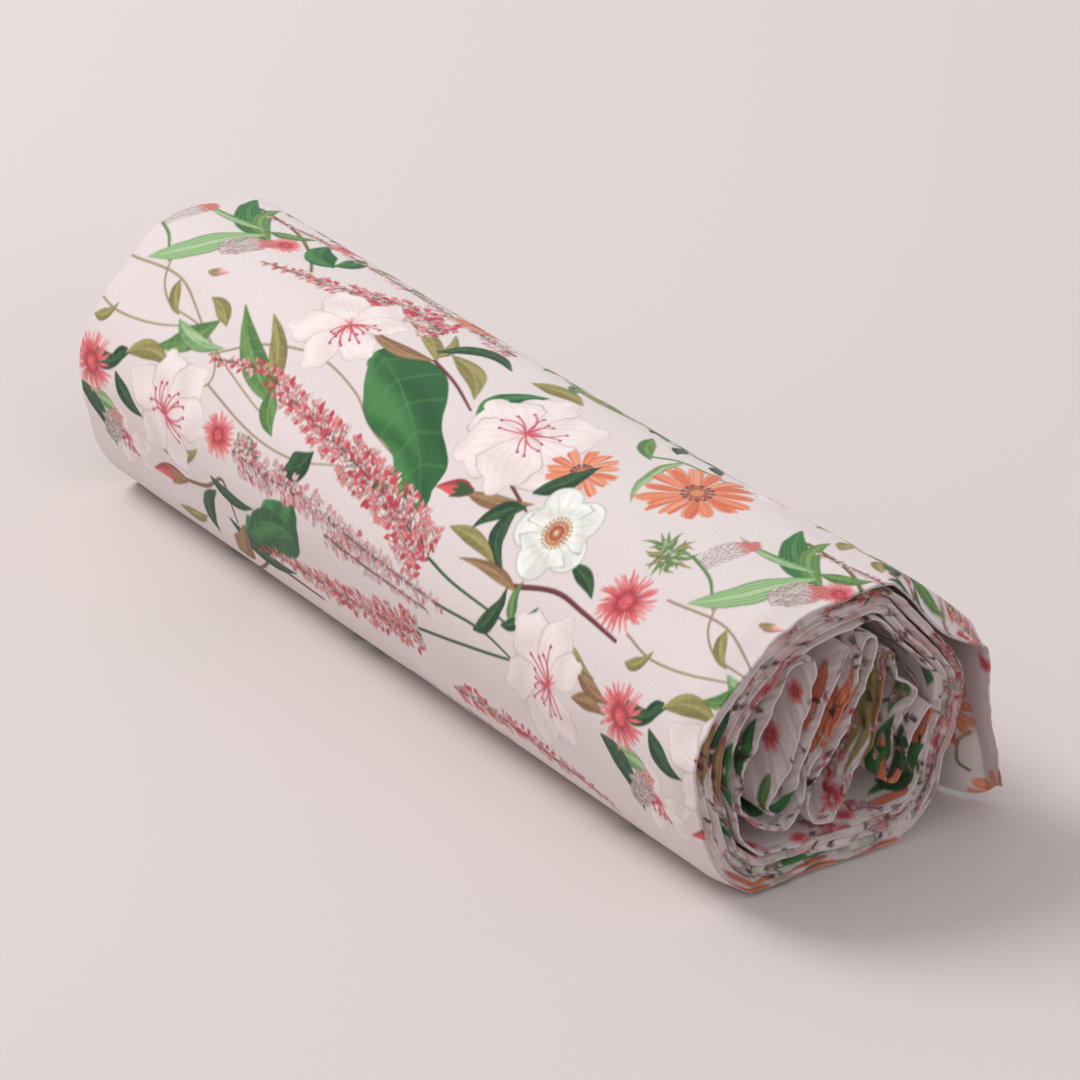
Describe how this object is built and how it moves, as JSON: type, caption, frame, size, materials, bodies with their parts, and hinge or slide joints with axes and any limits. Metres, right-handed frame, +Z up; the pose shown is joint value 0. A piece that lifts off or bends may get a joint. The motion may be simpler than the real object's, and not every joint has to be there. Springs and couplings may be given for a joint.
{
  "type": "fabric bolt",
  "caption": "Coreless roll of printed floral quilting cotton lying on its side, its folded edge showing at one end and its loose end hanging down one side.",
  "frame": {"origin": "centre of the bottom of the bounding box; the roll's flattened underside lies at z = 0", "axes": "+X along the roll towards the end where the cloth's folded edge shows, +Y towards the side where the loose end hangs, +Z up"},
  "size_m": [0.56, 0.1968, 0.1524],
  "materials": {
    "printed_cotton": "matt plain-weave cotton printed with flowers and leaves",
    "printed_cotton_inside": "the same cotton inside the roll"
  },
  "bodies": {
    "roll": {"turn_1": "printed_cotton", "turn_2": "printed_cotton", "turn_3": "printed_cotton", "turn_4": "printed_cotton", "turn_5": "printed_cotton", "corner_fold": "printed_cotton_inside", "right_loop": "printed_cotton_inside", "right_pass": "printed_cotton_inside", "middle_pass": "printed_cotton_inside", "inner_pass": "printed_cotton_inside", "left_pass": "printed_cotton_inside", "down_pass": "printed_cotton_inside", "cut_end": "printed_cotton_inside"},
    "loose_end_top": {"loose_end_top": "printed_cotton"},
    "loose_end_drop": {"loose_end_drop": "printed_cotton"}
  },
  "joints": [
    {"name": "loose_end_lift", "type": "hinge", "parent": "roll", "child": "loose_end_top", "pos_m": [0, 0.02572, 0.1485], "axis": [1, 0, 0], "range_deg": [0, 100]},
    {"name": "crease_bend", "type": "hinge", "parent": "loose_end_top", "child": "loose_end_drop", "pos_m": [0, 0.08552, 0.101], "axis": [1, 0, 0], "range_deg": [-10, 90]}
  ]
}
